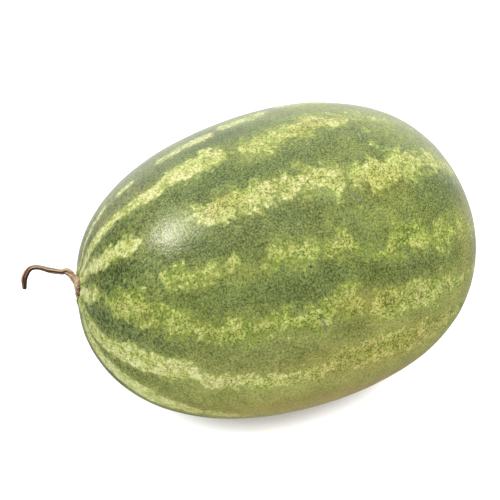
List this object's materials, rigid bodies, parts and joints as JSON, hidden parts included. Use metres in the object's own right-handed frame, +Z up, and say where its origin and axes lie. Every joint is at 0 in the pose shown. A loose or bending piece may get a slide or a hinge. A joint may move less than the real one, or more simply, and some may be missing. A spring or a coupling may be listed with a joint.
{
  "type": "watermelon",
  "caption": "Whole oval watermelon with mottled green rind and pale ragged stripes, lying on its side with a short dried stem.",
  "frame": {"origin": "middle of the small flat spot that the fruit rests on, in the plane of the surface it lies on", "axes": "+Z up, +X along the fruit's long axis from the stem end towards the blossom end, +Y to the far side"},
  "size_m": [0.3548, 0.2417, 0.2275],
  "materials": {
    "green rind": "waxy melon rind, mottled dark green with pale yellow-green ragged stripes, soft sheen",
    "dried stem": "dried fibrous stalk, tan to dark brown, dull"
  },
  "bodies": {
    "root": {"fruit": "green rind", "stem": "dried stem"}
  },
  "joints": []
}
